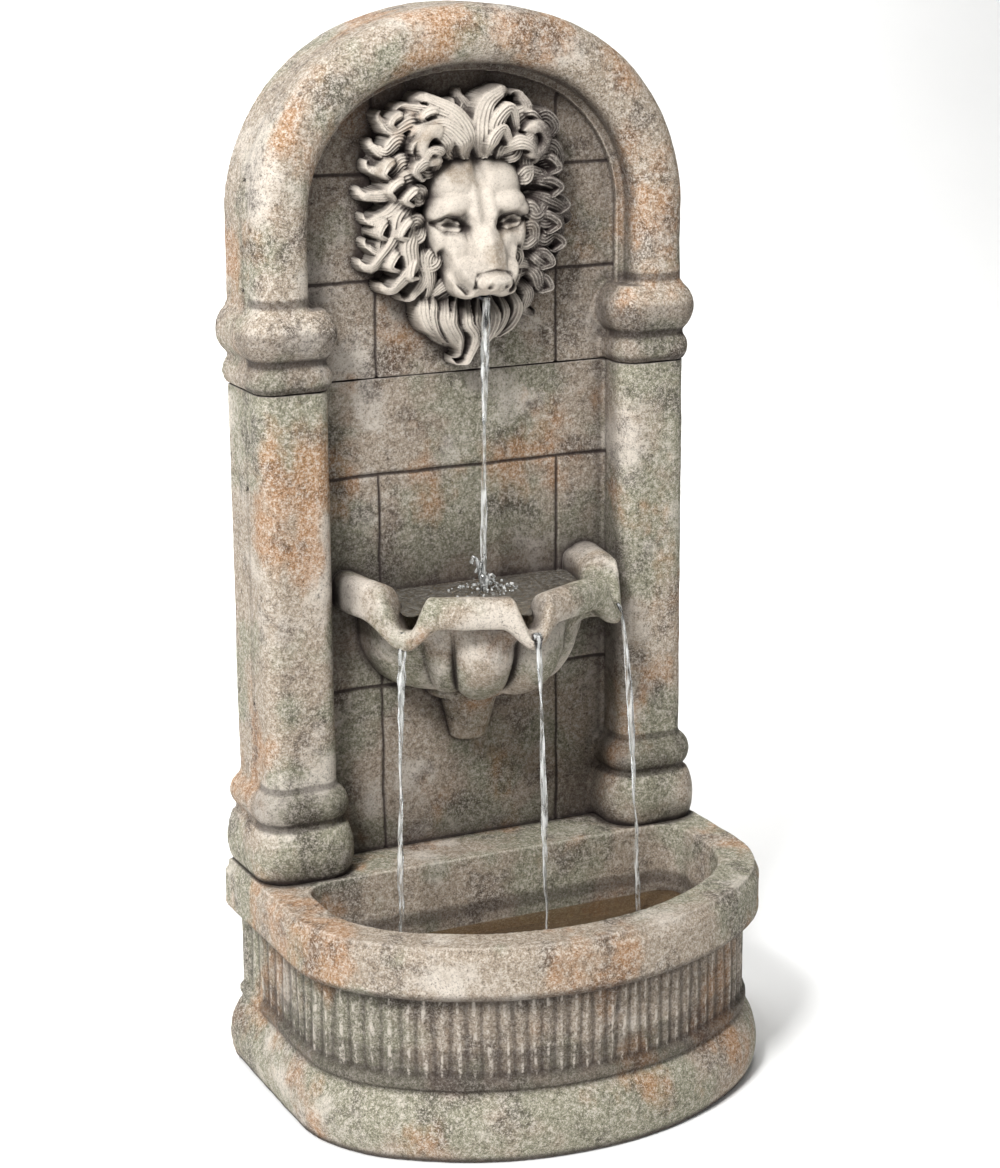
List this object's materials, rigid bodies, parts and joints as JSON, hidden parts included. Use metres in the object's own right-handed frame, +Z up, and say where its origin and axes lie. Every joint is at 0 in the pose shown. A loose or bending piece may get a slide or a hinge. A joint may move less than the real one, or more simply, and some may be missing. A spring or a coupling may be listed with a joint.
{
  "type": "garden wall fountain",
  "caption": "Arched stone-look wall fountain: a lion mask spouts into a scalloped bowl that spills into a bow-fronted basin with a hidden pump.",
  "frame": {"origin": "on the floor, midway between the sides and between the wall face and the rim's front", "axes": "+Z up, +X to the viewer's right, +Y towards the wall; the lion faces -Y"},
  "size_m": [0.4688, 0.3384, 0.9939],
  "materials": {
    "basin_stone": "matt stained cast resin",
    "wall_stone": "matt stained cast resin",
    "mask_stone": "matt stained cast resin",
    "bowl_stone": "matt stained cast resin",
    "steel": "zinc plated",
    "brass": "turned",
    "dowel_plastic": "as moulded",
    "hose_pvc": "clear PVC",
    "black_plastic": "as moulded",
    "door_plastic": "grained",
    "rubber": "matt",
    "magnet": "ground ferrite",
    "shaft_ceramic": "polished",
    "foam": "open foam"
  },
  "bodies": {
    "fountain": {"basin": "basin_stone", "column_section": "wall_stone", "arch_section": "wall_stone", "lion_mask": "mask_stone", "scallop_bowl": "bowl_stone", "bowl_bracket": "bowl_stone", "jet_nozzle": "black_plastic", "riser_hose": "hose_pvc", "hose_clamps": "steel", "mask_studs": "steel", "bowl_studs": "steel", "stud_washers": "steel", "stud_nuts": "steel", "seam_dowels": "dowel_plastic", "deck_dowels": "dowel_plastic", "joint_straps": "steel", "strap_screws": "steel", "wall_inserts": "brass", "cable_grommet": "rubber", "pump_body": "black_plastic", "volute_cover": "black_plastic", "rotor_shaft": "shaft_ceramic", "shaft_bushes": "rubber", "outlet_barb": "black_plastic", "cable_gland": "black_plastic", "suction_feet": "rubber"},
    "rotor": {"impeller": "black_plastic", "rotor_magnet": "magnet"},
    "flow_knob": {"flow_knob": "black_plastic"},
    "intake_cap": {"intake_cap": "black_plastic", "filter_sponge": "foam"},
    "intake_grille": {"intake_grille": "black_plastic"},
    "drain_plug": {"drain_plug": "rubber"},
    "access_door": {"access_door": "door_plastic", "door_seal": "rubber"},
    "left_fastener": {"left_fastener": "black_plastic"},
    "right_fastener": {"right_fastener": "black_plastic"}
  },
  "joints": [
    {"name": "rotor_turn", "type": "hinge", "parent": "fountain", "child": "rotor", "pos_m": [0, 0.132, 0.067], "axis": [1, 0, 0], "continuous": true},
    {"name": "flow_adjust", "type": "hinge", "parent": "fountain", "child": "flow_knob", "pos_m": [0, 0.135, 0.097], "axis": [0, 1, 0], "range_deg": [0, 90]},
    {"name": "cap_off", "type": "slide", "parent": "fountain", "child": "intake_cap", "axis": [-1, 0, 0], "range_m": [0, 0.032]},
    {"name": "grille_out", "type": "slide", "parent": "fountain", "child": "intake_grille", "axis": [0, -1, 0], "range_m": [0, 0.06]},
    {"name": "plug_out", "type": "slide", "parent": "fountain", "child": "drain_plug", "axis": [0, 0, 1], "range_m": [0, 0.06]},
    {"name": "door_off", "type": "slide", "parent": "fountain", "child": "access_door", "axis": [0, 1, 0], "range_m": [0, 0.06]},
    {"name": "left_turn", "type": "hinge", "parent": "access_door", "child": "left_fastener", "pos_m": [-0.077, 0.165, 0.304], "axis": [0, 1, 0], "range_deg": [0, 90]},
    {"name": "right_turn", "type": "hinge", "parent": "access_door", "child": "right_fastener", "pos_m": [0.077, 0.165, 0.304], "axis": [0, 1, 0], "range_deg": [0, 90]}
  ]
}
